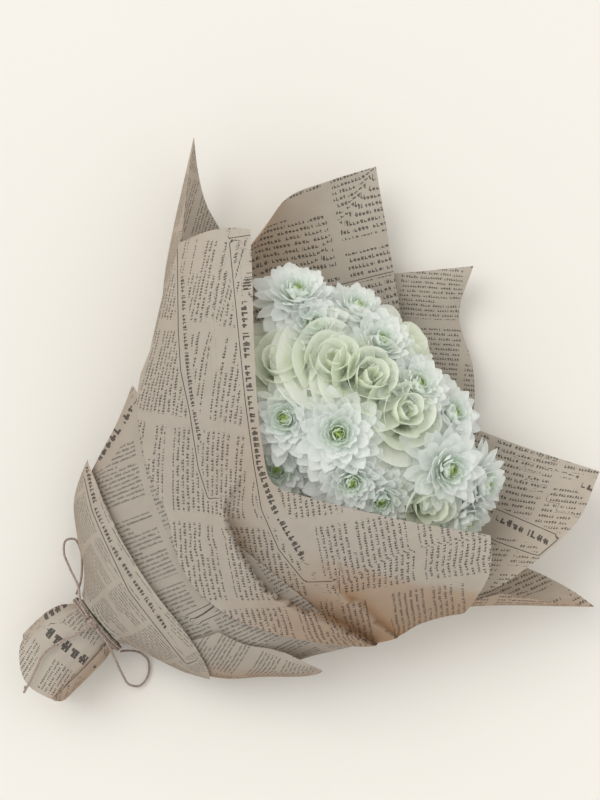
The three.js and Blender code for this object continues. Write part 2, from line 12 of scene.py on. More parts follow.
import bpy
import numpy as np
from mathutils import Matrix, Vector
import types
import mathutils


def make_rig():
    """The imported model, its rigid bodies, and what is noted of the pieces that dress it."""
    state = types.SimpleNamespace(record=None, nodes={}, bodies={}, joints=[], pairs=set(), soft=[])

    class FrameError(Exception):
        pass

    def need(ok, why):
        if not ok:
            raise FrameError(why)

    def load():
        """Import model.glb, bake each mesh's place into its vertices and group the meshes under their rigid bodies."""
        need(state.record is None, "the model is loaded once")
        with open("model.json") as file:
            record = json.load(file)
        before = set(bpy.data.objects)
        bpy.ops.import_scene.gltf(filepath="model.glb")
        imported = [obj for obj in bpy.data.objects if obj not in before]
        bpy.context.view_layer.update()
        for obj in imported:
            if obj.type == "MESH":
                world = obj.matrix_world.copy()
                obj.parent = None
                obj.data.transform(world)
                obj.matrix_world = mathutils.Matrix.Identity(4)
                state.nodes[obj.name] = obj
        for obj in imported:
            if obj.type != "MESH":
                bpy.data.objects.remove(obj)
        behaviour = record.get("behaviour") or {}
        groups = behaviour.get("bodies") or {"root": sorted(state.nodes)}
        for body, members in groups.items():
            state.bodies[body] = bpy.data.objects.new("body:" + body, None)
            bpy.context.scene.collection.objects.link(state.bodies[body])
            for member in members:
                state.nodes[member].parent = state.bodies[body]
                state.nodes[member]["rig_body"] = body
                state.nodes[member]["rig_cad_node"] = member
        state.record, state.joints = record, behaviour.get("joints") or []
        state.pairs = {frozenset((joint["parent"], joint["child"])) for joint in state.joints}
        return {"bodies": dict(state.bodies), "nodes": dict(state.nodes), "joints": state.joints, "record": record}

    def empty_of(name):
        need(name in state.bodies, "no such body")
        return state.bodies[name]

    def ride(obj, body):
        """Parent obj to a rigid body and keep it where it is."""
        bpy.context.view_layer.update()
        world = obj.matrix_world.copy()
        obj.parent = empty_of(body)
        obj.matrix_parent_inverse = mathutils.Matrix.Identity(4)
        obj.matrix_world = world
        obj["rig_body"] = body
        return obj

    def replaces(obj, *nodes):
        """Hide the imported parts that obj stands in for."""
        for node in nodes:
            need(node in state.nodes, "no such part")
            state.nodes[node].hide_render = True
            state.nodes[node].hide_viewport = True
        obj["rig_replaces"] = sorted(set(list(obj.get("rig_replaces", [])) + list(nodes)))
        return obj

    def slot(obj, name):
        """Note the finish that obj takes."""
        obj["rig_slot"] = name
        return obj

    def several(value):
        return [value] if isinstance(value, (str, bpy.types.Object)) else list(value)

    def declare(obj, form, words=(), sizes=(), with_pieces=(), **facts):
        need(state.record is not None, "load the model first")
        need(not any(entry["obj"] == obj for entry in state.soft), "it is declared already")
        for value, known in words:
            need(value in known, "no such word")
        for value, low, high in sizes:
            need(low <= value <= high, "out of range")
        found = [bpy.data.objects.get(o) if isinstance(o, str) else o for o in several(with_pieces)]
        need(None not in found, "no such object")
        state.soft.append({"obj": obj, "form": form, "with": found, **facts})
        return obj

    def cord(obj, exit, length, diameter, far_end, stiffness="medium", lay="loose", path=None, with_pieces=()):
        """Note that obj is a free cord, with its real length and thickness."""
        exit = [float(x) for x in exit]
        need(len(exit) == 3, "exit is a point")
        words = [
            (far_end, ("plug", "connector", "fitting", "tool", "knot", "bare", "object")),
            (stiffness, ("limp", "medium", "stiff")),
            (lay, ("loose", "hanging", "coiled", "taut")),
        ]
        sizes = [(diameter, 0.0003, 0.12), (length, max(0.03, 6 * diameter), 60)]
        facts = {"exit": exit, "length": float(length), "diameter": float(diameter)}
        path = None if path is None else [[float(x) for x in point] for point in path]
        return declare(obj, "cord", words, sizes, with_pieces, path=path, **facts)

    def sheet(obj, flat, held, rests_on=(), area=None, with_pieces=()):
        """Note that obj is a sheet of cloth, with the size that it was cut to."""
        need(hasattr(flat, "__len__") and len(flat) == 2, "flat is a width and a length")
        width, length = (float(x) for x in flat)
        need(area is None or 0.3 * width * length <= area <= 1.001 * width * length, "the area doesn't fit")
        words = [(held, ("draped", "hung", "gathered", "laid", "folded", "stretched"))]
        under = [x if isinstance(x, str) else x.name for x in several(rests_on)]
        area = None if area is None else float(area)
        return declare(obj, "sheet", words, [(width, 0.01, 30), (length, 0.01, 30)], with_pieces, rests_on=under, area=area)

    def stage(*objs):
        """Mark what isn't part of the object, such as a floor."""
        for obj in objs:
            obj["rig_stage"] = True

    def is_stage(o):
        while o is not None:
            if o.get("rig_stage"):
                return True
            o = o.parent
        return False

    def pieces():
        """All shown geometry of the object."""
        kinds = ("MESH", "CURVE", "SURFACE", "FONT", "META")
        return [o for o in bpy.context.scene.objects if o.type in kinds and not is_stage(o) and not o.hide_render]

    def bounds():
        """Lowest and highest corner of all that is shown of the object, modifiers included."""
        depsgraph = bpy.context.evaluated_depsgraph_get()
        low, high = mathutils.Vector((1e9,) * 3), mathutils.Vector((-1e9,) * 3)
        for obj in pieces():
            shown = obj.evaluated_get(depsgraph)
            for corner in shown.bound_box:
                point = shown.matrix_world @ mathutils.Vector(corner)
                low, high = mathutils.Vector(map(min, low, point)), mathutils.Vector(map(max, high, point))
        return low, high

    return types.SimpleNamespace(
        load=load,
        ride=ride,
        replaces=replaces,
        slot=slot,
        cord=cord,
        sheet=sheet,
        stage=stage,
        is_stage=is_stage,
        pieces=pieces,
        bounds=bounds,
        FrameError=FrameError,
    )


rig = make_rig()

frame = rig.load()
low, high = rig.bounds()
MM = 0.001
NECK = Vector((4.5, -165.5, 0.0))      # the tied neck on the floor, in millimetres


def place(point):
    """A point given in millimetres from the neck, in the frame's metres."""
    return (Vector(point) + NECK) * MM


# %% [markdown]
# ## The camera
# It looks straight down with a long lens, turned so that the stems run up to the right.

# %%
camera_data = bpy.data.cameras.new("camera")
camera_data.sensor_fit = "VERTICAL"
camera_data.sensor_height = 24
CAMERA_HEIGHT = 3.0
FIELD = 0.640                          # metres from top to bottom at the flowers' height
camera_data.lens = 24 * (CAMERA_HEIGHT - 0.07) / FIELD
camera_data.clip_end = 20
camera = bpy.data.objects.new("camera", camera_data)
bpy.context.scene.collection.objects.link(camera)
bpy.context.scene.camera = camera
TURN = math.radians(50)                # the picture's right, measured from +X
camera.location = place((-36, 234, 0)) + Vector((0, 0, CAMERA_HEIGHT))
camera.rotation_euler = (0, 0, TURN)


# %% [markdown]
# ## Shader arithmetic
# A small socket class lets a pattern be written as a formula.

# %%
class Socket:
    """One output of a node tree, with arithmetic that adds the nodes."""

    def __init__(self, tree, socket):
        self.tree = tree
        self.socket = socket

    def node(self, kind, *inputs, output=0, **settings):
        made = self.tree.nodes.new(kind)
        for name, value in settings.items():
            setattr(made, name, value)
        for index, value in enumerate(inputs):
            if isinstance(value, Socket):
                self.tree.links.new(value.socket, made.inputs[index])
            elif value is not None:
                made.inputs[index].default_value = value
        return Socket(self.tree, made.outputs[output])

    def math(self, operation, *inputs):
        return self.node("ShaderNodeMath", self, *inputs, operation=operation)

    def __add__(self, other):
        return self.math("ADD", other)

    def __radd__(self, other):
        return self.math("ADD", other)

    def __sub__(self, other):
        return self.math("SUBTRACT", other)

    def __rsub__(self, other):
        return (self * -1) + other

    def __mul__(self, other):
        return self.math("MULTIPLY", other)

    def __rmul__(self, other):
        return self.math("MULTIPLY", other)

    def __truediv__(self, other):
        return self.math("DIVIDE", other)

    def __lt__(self, other):
        return self.math("LESS_THAN", other)

    def __gt__(self, other):
        return self.math("GREATER_THAN", other)

    def floor(self):
        return self.math("FLOOR")

    def fract(self):
        return self.math("FRACT")

    def abs(self):
        return self.math("ABSOLUTE")

    def min(self, other):
        return self.math("MINIMUM", other)

    def max(self, other):
        return self.math("MAXIMUM", other)

    def between(self, a, b):
        return (self > a) * (self < b)

    def smooth(self, a, b):
        """0 below a, 1 above b, and a soft step between them."""
        return self.node("ShaderNodeMapRange", self, a, b, 0.0, 1.0, interpolation_type="SMOOTHSTEP")

    def random(self, other, seed):
        """A steady random number from 0 to 1 for each whole pair of numbers."""
        cell = self.node("ShaderNodeCombineXYZ", self, other, seed)
        return cell.node("ShaderNodeTexWhiteNoise", cell, noise_dimensions="3D")

    def mix(self, a, b):
        """Colour a where this is 0 and colour b where it is 1."""
        made = self.tree.nodes.new("ShaderNodeMix")
        made.data_type = "RGBA"
        for index, value in ((0, self), (6, a), (7, b)):
            if isinstance(value, Socket):
                self.tree.links.new(value.socket, made.inputs[index])
            else:
                made.inputs[index].default_value = (*value, 1) if isinstance(value, tuple) else value
        return Socket(self.tree, made.outputs[2])


def start(name):
    """An empty material, its tree and its output node."""
    material = bpy.data.materials.new(name)
    material.use_nodes = True
    tree = material.node_tree
    tree.nodes.clear()
    return material, tree, tree.nodes.new("ShaderNodeOutputMaterial")


def source(tree, kind, output=0, **settings):
    node = tree.nodes.new(kind)
    for name, value in settings.items():
        setattr(node, name, value)
    return Socket(tree, node.outputs[output])


def surface(tree, output, colour, roughness, through, bump=None):
    """A thin surface: a principled shader, with light let through from behind by that share."""
    principled = tree.nodes.new("ShaderNodeBsdfPrincipled")
    principled.inputs["Roughness"].default_value = roughness
    principled.inputs["Specular IOR Level"].default_value = 0.25
    tree.links.new(colour.socket, principled.inputs["Base Color"])
    glow = tree.nodes.new("ShaderNodeBsdfTranslucent")
    tree.links.new(colour.socket, glow.inputs["Color"])
    if bump is not None:
        relief = tree.nodes.new("ShaderNodeBump")
        relief.inputs["Distance"].default_value = 0.0004
        tree.links.new(bump.socket, relief.inputs["Height"])
        tree.links.new(relief.outputs[0], principled.inputs["Normal"])
    blend = tree.nodes.new("ShaderNodeMixShader")
    blend.inputs[0].default_value = through
    tree.links.new(principled.outputs[0], blend.inputs[1])
    tree.links.new(glow.outputs[0], blend.inputs[2])
    tree.links.new(blend.outputs[0], output.inputs[0])


# %% [markdown]
# ## Printed kraft paper
# The print is rows of small broken strokes in columns, thin rules and strips of larger strokes. It says
# nothing. Every sheet is unrolled flat in millimetres, so the rows follow the paper over its folds.

# %%
PAPER_LIGHT = (0.570, 0.535, 0.475)
# Painted shade: the brown that the paper is mixed towards where it stands in shadow, turns away from facing up or has
# a second sheet behind it, and for one painted warm glow of light let through.
PAPER_SHADING_BROWN = (0.480, 0.290, 0.160)
INK = (0.045, 0.038, 0.036)


def strokes(p, q, pitch, width, seed, weight):
    """Rows of letter-like strokes: p runs along the rows, q across them, both in millimetres."""
    row = (q / pitch).floor()
    across = (q / pitch).fract()
    cell = (p / width).floor()
    along = (p / width).fract()
    kind = cell.random(row, seed)
    tall = cell.random(row, seed + 1.5)
    word = (p / (width * 5.3) + row * 0.37).floor().random(row, seed + 2.5)
    gap = ((p / (width * 5.3) + row * 0.37).fract() < 0.16) * (word > 0.2)
    top = 0.64 + tall * 0.2
    body = across.between(0.27, 0.98) * (across < top)
    stem = (along - 0.28 - kind * 0.2).abs() < weight
    bar = ((across - 0.3 - kind * 0.32).abs() < 0.09) * along.between(0.1, 0.86)
    second = ((along - 0.74).abs() < weight * 0.8) * (kind > 0.45)
    mark = (stem.max(second).max(bar)) * body
    return mark * (1 - gap)


def paper_material(name, angle, pitch, column, seed, shade=1.0):
    """angle: the rows' direction in the plan. The title and rule maps hold how far along and across a
    line of large strokes, or from a thin rule, each point lies."""
    material, tree, output = start(name)
    flat = source(tree, "ShaderNodeUVMap", uv_map="flat")
    parts = flat.node("ShaderNodeSeparateXYZ", flat)
    u = Socket(tree, parts.socket.node.outputs[0]) * 1000
    v = Socket(tree, parts.socket.node.outputs[1]) * 1000
    c, s = math.cos(math.radians(angle)), math.sin(math.radians(angle))
    p = u * c + v * s + 500
    q = v * c - u * s + 500
    lane = (p / column).floor()
    in_lane = (p / column).fract() * column
    part = (q / (pitch * 17) + lane * 0.41).floor()
    in_part = (q / (pitch * 17) + lane * 0.41).fract()
    mood = lane.random(part, seed + 7.5)
    row = (q / pitch).floor()
    ragged = row.random(lane, seed + 9.5)
    full = in_lane.between(column * 0.04, column * 0.93) * ((in_lane < column * 0.55).max(ragged > 0.14))
    body = full * in_part.between(0.07, 0.96)
    small = strokes(p, q, pitch, pitch * 0.52, seed, 0.13) * body
    ink = small * (1 - (mood < 0.22) * in_part.between(0.0, 0.16))
    title = source(tree, "ShaderNodeUVMap", uv_map="title")
    parts = title.node("ShaderNodeSeparateXYZ", title).socket.node
    along, across = Socket(tree, parts.outputs[0]), Socket(tree, parts.outputs[1])
    words = strokes(along + 50, across + 0.66, 1.3, 0.62, seed + 31, 0.15)
    ink = ink * (1 - (across.abs() < 0.95)) + words * (across.abs() < 0.62)
    rule = source(tree, "ShaderNodeUVMap", uv_map="rule")
    away = Socket(tree, rule.node("ShaderNodeSeparateXYZ", rule).socket.node.outputs[0])
    ink = ink * (1 - (away.abs() < 2.0)) + (away.abs() < 0.36)
    ink = ink.min(1.0)
    fibre = flat.node("ShaderNodeTexNoise", flat, None, 55.0, 5.0, 0.6)
    worn = flat.node("ShaderNodeTexNoise", flat, None, 900.0, 2.0, 0.5)
    # Painted shade and glow: a per-point share mixes the paper's colour towards brown.
    shading_share = source(tree, "ShaderNodeAttribute", attribute_name="painted_shading")
    shading_share = Socket(tree, shading_share.socket.node.outputs[2])
    light = tuple(shade * value for value in PAPER_LIGHT)
    colour = shading_share.mix(light, PAPER_SHADING_BROWN)
    colour = (fibre.smooth(0.3, 0.75) * 0.16).mix(colour, (0.30, 0.24, 0.20))
    strength = ink * worn.smooth(0.1, 0.5) * 0.88
    colour = strength.mix(colour, INK)
    surface(tree, output, colour, 0.78, 0.30, bump=fibre * 0.6)
    return material


# %% [markdown]
# ## The wrap's bell shape
# Half widths and heights at each distance from the neck, for the innermost layer of paper.

# %%
def through(pairs):
    """A smooth function through (x, value) pairs."""
    xs = [pair[0] for pair in pairs]
    ys = [pair[1] for pair in pairs]
    last = len(pairs) - 1
    slopes = []
    for i in range(last + 1):
        a, b = max(i - 1, 0), min(i + 1, last)
        slopes.append((ys[b] - ys[a]) / (xs[b] - xs[a]))

    def value(x):
        if x <= xs[0]:
            return ys[0]
        if x >= xs[-1]:
            return ys[-1]
        i = next(n for n in range(last) if xs[n + 1] > x)
        h = xs[i + 1] - xs[i]
        t = (x - xs[i]) / h
        a, b = ys[i], ys[i + 1]
        m, n = slopes[i] * h, slopes[i + 1] * h
        return (2 * a - 2 * b + m + n) * t**3 + (3 * b - 3 * a - 2 * m - n) * t**2 + m * t + a

    return value


width_left = through([(0, 20), (15, 33), (25, 51), (40, 73), (60, 87), (80, 96), (110, 108),
                      (140, 124), (165, 141), (220, 181), (265, 217), (305, 249), (400, 326)])
width_right = through([(0, 15), (11, 38), (22, 58), (40, 82), (60, 98), (80, 108), (109, 119),
                       (127, 128), (148, 138), (170, 148), (193, 152), (223, 167), (265, 203), (309, 241),
                       (400, 310)])
height_top = through([(0, 46), (15, 57), (30, 69), (50, 81), (77, 95), (120, 115), (176, 138),
                      (240, 152), (300, 150), (400, 130)])
height_mid = through([(0, 30), (30, 36), (100, 50), (200, 60), (400, 55)])
height_low = through([(0, 14), (20, 11), (50, 9), (400, 9)])


def bell(bearing, y, layer):
    """A point on a layer: bearing 0 is the top, +90 the left silhouette, -90 the right one."""
    k = layer * (0.6 + 0.4 * min(max(y / 20, 0), 1))
    width = (width_left(y) if bearing > 0 else width_right(y)) + k
    c = math.cos(math.radians(bearing))
    mid = height_mid(y)
    z = mid + c * (height_top(y) + k - mid) if c > 0 else mid + c * (mid - height_low(y) + k)
    return Vector((-width * math.sin(math.radians(bearing)), y, z))


def spline(points, t):
    """A point on a smooth centripetal curve through the points, t from 0 to 1."""
    last = len(points) - 1
    x = min(max(t, 0), 1) * last
    i = min(int(x), last - 1)
    f = x - i
    b, c = points[i], points[i + 1]
    a = points[i - 1] if i > 0 else b * 2 - c
    d = points[i + 2] if i + 2 <= last else c * 2 - b
    before, here, after = (max((q - p).length, 1e-6) ** 0.5 for p, q in ((a, b), (b, c), (c, d)))
    m = ((b - a) / before - (c - a) / (before + here) + (c - b) / here) * here
    n = ((c - b) / here - (d - b) / (here + after) + (d - c) / after) * here
    return (b * 2 - c * 2 + m + n) * f**3 + (c * 3 - b * 3 - m * 2 - n) * f**2 + m * f + b


def step(x, a, b):
    """0 below a, 1 above b, and a soft step between them."""
    t = min(max((x - a) / (b - a), 0), 1)
    return t * t * (3 - 2 * t)


def net_grid(ribs, along, between, corner):
    """Ribs of points, smoothed along each rib and then across them, with the corner rib kept sharp."""
    rails = [[Vector(point) for point in rib] for rib in ribs]
    grid = []
    for i in range(along + 1):
        points = [spline(rail, i / along) for rail in rails]
        row = []
        for first, last in ((0, corner), (corner, len(ribs) - 1)):
            steps = (last - first) * between
            for j in range(0 if first == 0 else 1, steps + 1):
                row.append(spline(points[first:last + 1], j / steps))
        grid.append(row)
    return grid


def bell_grid(columns, along, between, layer):
    """Columns of (bearing, near y, far y); a column with a fourth value is a sharp corner."""
    corners = [0] + [n for n, column in enumerate(columns) if len(column) > 3] + [len(columns) - 1]
    values = []
    for first, last in zip(corners, corners[1:]):
        points = [Vector(column[:3]) for column in columns[first:last + 1]]
        steps = (last - first) * between
        values += [spline(points, j / steps) for j in range(0 if first == 0 else 1, steps + 1)]
    grid = []
    for i in range(along + 1):
        row = []
        for bearing, near, far in values:
            y = near + (far - near) * i / along
            row.append(bell(bearing, y, layer(bearing, y)))
        grid.append(row)
    return grid


# %% [markdown]
# ## Building one sheet
# A grid of points becomes a mesh, is unrolled, and its flat coordinates are turned and moved to
# agree with the plan, so that a print direction can be given in the plan.

# %%
def edge_distance(x, y, line):
    """Signed distance in the plan from a polyline: positive on its left."""
    best, side = 1e9, 1
    for (x1, y1), (x2, y2) in zip(line, line[1:]):
        dx, dy = x2 - x1, y2 - y1
        t = min(max(((x - x1) * dx + (y - y1) * dy) / (dx * dx + dy * dy), 0), 1)
        near = math.hypot(x - x1 - t * dx, y - y1 - t * dy)
        if near < best:
            best = near
            side = 1 if dx * (y - y1) - dy * (x - x1) > 0 else -1
    return best * side


def unroll(grid):
    """Each grid point's place on the flat sheet: springs of the folded sheet's own lengths relax in a
    plane, and the result is turned to agree with the plan where the sheet faces up."""
    points = np.array([[tuple(point) for point in row] for row in grid])
    picked = [np.unique(np.linspace(0, size - 1, count).round().astype(int))
              for size, count in zip(points.shape, (12, 22))]
    coarse = points[np.ix_(*picked)]
    rows, columns = coarse.shape[:2]
    across = np.cumsum(np.linalg.norm(np.diff(coarse, axis=1, prepend=coarse[:, :1]), axis=2), axis=1)
    along = np.cumsum(np.linalg.norm(
        np.diff(coarse[:, columns // 2], axis=0, prepend=coarse[:1, columns // 2]), axis=1))
    flat = np.stack(
        [across - across[:, columns // 2, None], np.repeat(along[:, None], columns, axis=1)], axis=2)
    pairs = []
    for di, dj in ((0, 1), (1, 0), (1, 1), (1, -1)):
        first = (slice(0, rows - di), slice(max(-dj, 0), columns - max(dj, 0)))
        second = (slice(di, rows), slice(max(dj, 0), columns + min(dj, 0)))
        pairs.append((first, second, np.linalg.norm(coarse[second] - coarse[first], axis=2)))
    for turn in range(1500):
        move = np.zeros_like(flat)
        for first, second, rest in pairs:
            gap = flat[second] - flat[first]
            pull = gap * (0.5 - 0.5 * rest / np.maximum(np.linalg.norm(gap, axis=2), 1e-6))[:, :, None]
            move[first] += pull
            move[second] -= pull
        flat += 0.22 * move
    up = abs(np.cross(np.gradient(coarse, axis=0), np.gradient(coarse, axis=1))[:, :, 2]) ** 2
    plan = coarse[:, :, 0] + 1j * coarse[:, :, 1]
    best = None
    for trial in (flat @ np.array([1, 1j]), flat @ np.array([1, -1j])):
        a = trial - np.average(trial, weights=up)
        b = plan - np.average(plan, weights=up)
        turn = np.sum(up * a.conj() * b)
        turn /= abs(turn)
        error = np.sum(up * abs(turn * a - b) ** 2)
        if best is None or error < best[0]:
            best = (error, turn * a + np.average(plan, weights=up))
    inner = np.array([[np.interp(j, picked[1], row) for j in range(points.shape[1])] for row in best[1]])
    return np.array([np.interp(np.arange(points.shape[0]), picked[0], inner[:, j])
                     for j in range(points.shape[1])]).T


# Thin rules and lines of large strokes on each sheet, as plan points from the neck; a line of strokes
# has the strokes' height after it.
MARKS = {
    "paper_front_band": {
        "rules": [[(-169, 273), (-110, 233), (-63, 201), (-22, 175), (10, 156), (43, 146), (76, 145),
                (90, 163)],
                  [(-195, 240), (-140, 196), (-114, 177), (-85, 162), (-47, 139), (-23, 129), (-19, 135)],
                  [(-168, 274), (-159, 288)],
                  [(87, 171), (98, 162)]],
        "titles": [([(-122, 249), (-87, 223), (-48, 195), (-16, 176), (16, 164), (56, 157)], 7.5),
                   ([(-170, 225), (-143, 205), (-117, 186), (-90, 169), (-63, 154)], 4.6)],
    },
    "paper_collar_outer": {
        "rules": [[(-99, 61), (-75, 50), (-50, 43), (-7, 32), (33, 30), (68, 28), (70, 36)],
                  [(-4, -4), (-6, -21), (4, -23)]],
        "titles": [([(-104, 68), (-72, 53), (-38, 44), (-4, 40), (33, 36)], 5.0)],
    },
    "paper_collar_inner": {
        "rules": [[(37, 56), (42, 75)],
                  [(48, 59), (53, 77)]],
        "titles": [([(-105, 81), (-110, 100), (-117, 124)], 11.0)],
    },
    "paper_right": {
        "rules": [[(122, 293), (180, 323), (180, 299), (148, 279)]],
        "titles": [([(140, 295), (176, 312)], 8.0),
                   ([(162, 365), (170, 368)], 9.0)],
    },
    "paper_back_left": {
        "rules": [[(-89, 315), (-68, 358)],
                  [(-44, 329), (-39, 340)]],
    },
    "paper_handle": {
        "titles": [([(-21, -40), (17, -32)], 14.0),
                   ([(-34, -35), (-30, -1)], 9.0)],
    },
}


def nearest(x, y, lines):
    """How far along and across the nearest line a plan point lies, in units of that line's size."""
    best = (1e9, 0.0, 99.0)
    for points, size in lines:
        before = 0.0
        for (x1, y1), (x2, y2) in zip(points, points[1:]):
            length = math.hypot(x2 - x1, y2 - y1)
            dx, dy = (x2 - x1) / length, (y2 - y1) / length
            along = (x - x1) * dx + (y - y1) * dy
            over = along - min(max(along, 0), length)
            across = (y - y1) * dx - (x - x1) * dy
            away = math.hypot(across, over)
            if away < best[0]:
                best = (away, (before + along) / size, math.copysign(away, across) / size)
            before += length
    return best[1:]


# Each sheet's flat width and length and its area, measured by unrolling the modelled surface, and how it
# is held. The low collar was lengthened after it was measured.
CUTS = {
    "paper_back_centre": {"flat": (0.161, 0.422), "area": 0.0439, "held": "gathered"},
    "paper_back_left": {"flat": (0.178, 0.426), "area": 0.0501, "held": "gathered"},
    "paper_right": {"flat": (0.226, 0.409), "area": 0.0624, "held": "gathered"},
    "paper_spike_right": {"flat": (0.113, 0.389), "area": 0.0329, "held": "gathered"},
    "paper_spike_left": {"flat": (0.128, 0.388), "area": 0.0340, "held": "gathered"},
    "paper_collar_inner": {"flat": (0.170, 0.330), "area": 0.0424, "held": "gathered"},
    "paper_front_band": {"flat": (0.195, 0.447), "area": 0.0556, "held": "gathered"},
    "paper_collar_low": {"flat": (0.081, 0.136), "area": 0.0077, "held": "gathered"},
    "paper_collar_outer": {"flat": (0.093, 0.234), "area": 0.0153, "held": "gathered"},
    "paper_handle": {"flat": (0.086, 0.212), "area": 0.0133, "held": "gathered"},
}


def sheet(name, grid, material, painted_shading=None, replaces=None):
    mesh = bpy.data.meshes.new(name)
    rows, columns = len(grid), len(grid[0])
    points = [place(point) for row in grid for point in row]
    faces = [
        (i * columns + j, i * columns + j + 1, (i + 1) * columns + j + 1, (i + 1) * columns + j)
        for i in range(rows - 1)
        for j in range(columns - 1)
    ]
    mesh.from_pydata(points, [], faces)
    obj = bpy.data.objects.new(name, mesh)
    bpy.context.scene.collection.objects.link(obj)
    for face in mesh.polygons:
        face.use_smooth = True
    flat = unroll(grid).ravel() * MM
    layer = mesh.uv_layers.new(name="flat")
    for loop in mesh.loops:
        value = flat[loop.vertex_index]
        layer.data[loop.index].uv = (value.real, value.imag)
    marks = MARKS.get(name, {})
    rules = [(points, 1.0) for points in marks.get("rules", ())]
    for title, lines in (("title", marks.get("titles", ())), ("rule", rules)):
        values = [nearest(point.x, point.y, lines) for row in grid for point in row]
        layer = mesh.uv_layers.new(name=title)
        for loop in mesh.loops:
            along, across = values[loop.vertex_index]
            layer.data[loop.index].uv = (along, across) if title == "title" else (across, 0)
    # Painted shade per point: browner where the sheet turns away from facing up, plus any painted shade or glow that
    # the sheet is given.
    attribute = mesh.attributes.new("painted_shading", "FLOAT", "POINT")
    mesh.update()
    for index, vertex in enumerate(mesh.vertices):
        tilt = 1 - abs(vertex.normal.z)
        value = 0.10 + 0.34 * tilt**1.5
        if painted_shading is not None:
            x, y, z = grid[index // columns][index % columns]
            value += painted_shading(x, y, z)
        attribute.data[index].value = min(max(value, 0), 1)
    mesh.materials.append(material)
    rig.ride(obj, "root")
    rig.slot(obj, "kraft_paper")
    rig.replaces(obj, replaces or name)
    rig.sheet(obj, **CUTS[name])
    return obj


# %% [markdown]
# ## The sheets

# %%
BACK_CENTRE = [
    [(-12, 0, 12.6), (-36, 50, 2), (-50, 110, -0.5), (-60, 200, -0.5), (-68, 290, -0.5), (-67, 357, 10)],
    [(-8, 0, 10.8), (-22, 50, 1.6), (-30, 110, -0.5), (-37, 200, -0.5), (-42, 296, -0.5), (-29, 411, 36)],
    [(-3, 0, 9.6), (-8, 50, 1.2), (-10, 110, -0.5), (-12, 200, -0.5), (-12, 294, -0.5), (-6, 378, 16)],
    [(3, 0, 9.6), (14, 50, 1.2), (20, 110, -0.5), (23, 200, -0.5), (26, 286, -0.5), (35, 358, 26)],
    [(8, 0, 10.8), (26, 50, 1.6), (38, 110, -0.5), (48, 200, -0.5), (56, 272, -0.5), (71, 326, 8)],
    [(12, 0, 12.6), (38, 50, 2), (54, 110, -0.5), (70, 190, -0.5), (78, 240, -0.5), (92, 280, 6)],
]
back_centre_print = paper_material("print_back_centre", 47, 4.0, 60, 3, shade=0.97)
back_centre = net_grid(BACK_CENTRE, 40, 8, 1)
for row in back_centre:
    for point in row:
        point.z = max(point.z, 0.3)
        point.z += 3.5 * step(point.y, 290, 350) * math.sin(point.x / 9.5 + point.y / 40)
        point.z = max(point.z, 0.3)
sheet("paper_back_centre", back_centre, back_centre_print, replaces="sheet_back_centre")

BACK_LEFT = [
    [(-14, 0, 23.5), (-66, 80, 30), (-110, 170, 34), (-150, 250, 44), (-158, 296, 60)],
    [(-12.5, 0, 19), (-58, 80, 16), (-104, 180, 16), (-150, 280, 28), (-167, 330, 56)],
    [(-10, 0, 17), (-48, 80, 10.5), (-88, 180, 9.5), (-128, 290, 16), (-156, 366, 48)],
    [(-6, 0, 15.3), (-32, 80, 9), (-66, 180, 8.5), (-104, 290, 14), (-141, 402, 44)],
    [(-2, 0, 14.6), (-15, 80, 8.6), (-40, 180, 8.5), (-68, 280, 14), (-77, 365, 30)],
    [(3, 0, 14.6), (2, 80, 8.6), (-8, 180, 8.5), (-20, 270, 13), (-29, 335, 22)],
    [(7, 0, 15.6), (18, 80, 8.8), (20, 170, 8.8), (18, 240, 11), (14, 290, 14)],
]
back_left_print = paper_material("print_back_left", 64, 6.0, 84, 11, shade=0.95)
back_left = net_grid(BACK_LEFT, 36, 7, 3)
# Painted shade: a browner patch on the raised left wall round (-150, 290).
sheet("paper_back_left", back_left, back_left_print,
      painted_shading=lambda x, y, z: 0.35 * max(0, 1 - math.hypot(x + 150, y - 290) / 60), replaces="sheet_back_left")

SIDE_RIGHT = [
    [(-1, 0, 13.2), (8, 80, 5.8), (20, 170, 5.6), (48, 260, 8.5), (70, 326, 16)],
    [(5, 0, 13.6), (28, 80, 5.8), (50, 170, 5.8), (82, 260, 9), (112, 350, 26)],
    [(10, 0, 15.6), (52, 80, 7), (88, 180, 9), (122, 280, 24), (162, 381, 70)],
    [(14.5, 0, 20), (74, 80, 14), (114, 180, 24), (150, 260, 56), (179, 340, 96)],
    [(16.8, 0, 26), (90, 80, 34), (126, 150, 52), (158, 220, 80), (181, 284, 102)],
    [(16.6, 0, 34), (91, 75, 54), (120, 130, 78), (148, 190, 87), (173, 246, 103)],
    [(14, 0, 40.5), (80, 70, 66), (103, 110, 84), (120, 160, 101), (133, 210, 114)],
    [(9, 0, 45.2), (56, 65, 78), (71, 95, 91), (81, 130, 108), (90, 182, 128)],
]
side_right_print = paper_material("print_right", 27, 5.4, 66, 23, shade=1.0)
side_right = net_grid(SIDE_RIGHT, 36, 7, 2)
sheet("paper_right", side_right, side_right_print, replaces="sheet_right")

SPIKE_RIGHT = [
    [(6, 0, 11.8), (34, 80, 3), (60, 150, 3.2), (92, 200, 3.4), (120, 240, 4.4)],
    [(12, 0, 14.6), (58, 80, 3.6), (96, 160, 5), (140, 240, 8), (181, 284, 16)],
    [(16.6, 0, 20), (84, 80, 10), (126, 160, 14), (168, 230, 22), (222, 303, 34)],
    [(18.6, 0, 27), (98, 80, 30), (140, 160, 34), (176, 226, 38), (245, 309, 40)],
    [(18.6, 0, 34), (99, 78, 48), (142, 155, 54), (168, 215, 58), (222, 288, 58)],
    [(17.6, 0, 39), (93, 75, 58), (138, 150, 68), (158, 200, 74), (186, 258, 76)],
]
spike_right_print = paper_material("print_spike_right", 78, 4.6, 70, 31, shade=1.0)
spike_right = net_grid(SPIKE_RIGHT, 34, 7, 3)
# Painted shade: the raised part above 36 mm is browner.
sheet("paper_spike_right", spike_right, spike_right_print,
      painted_shading=lambda x, y, z: 0.3 if z > 36 else 0.1, replaces="sheet_spike_right")

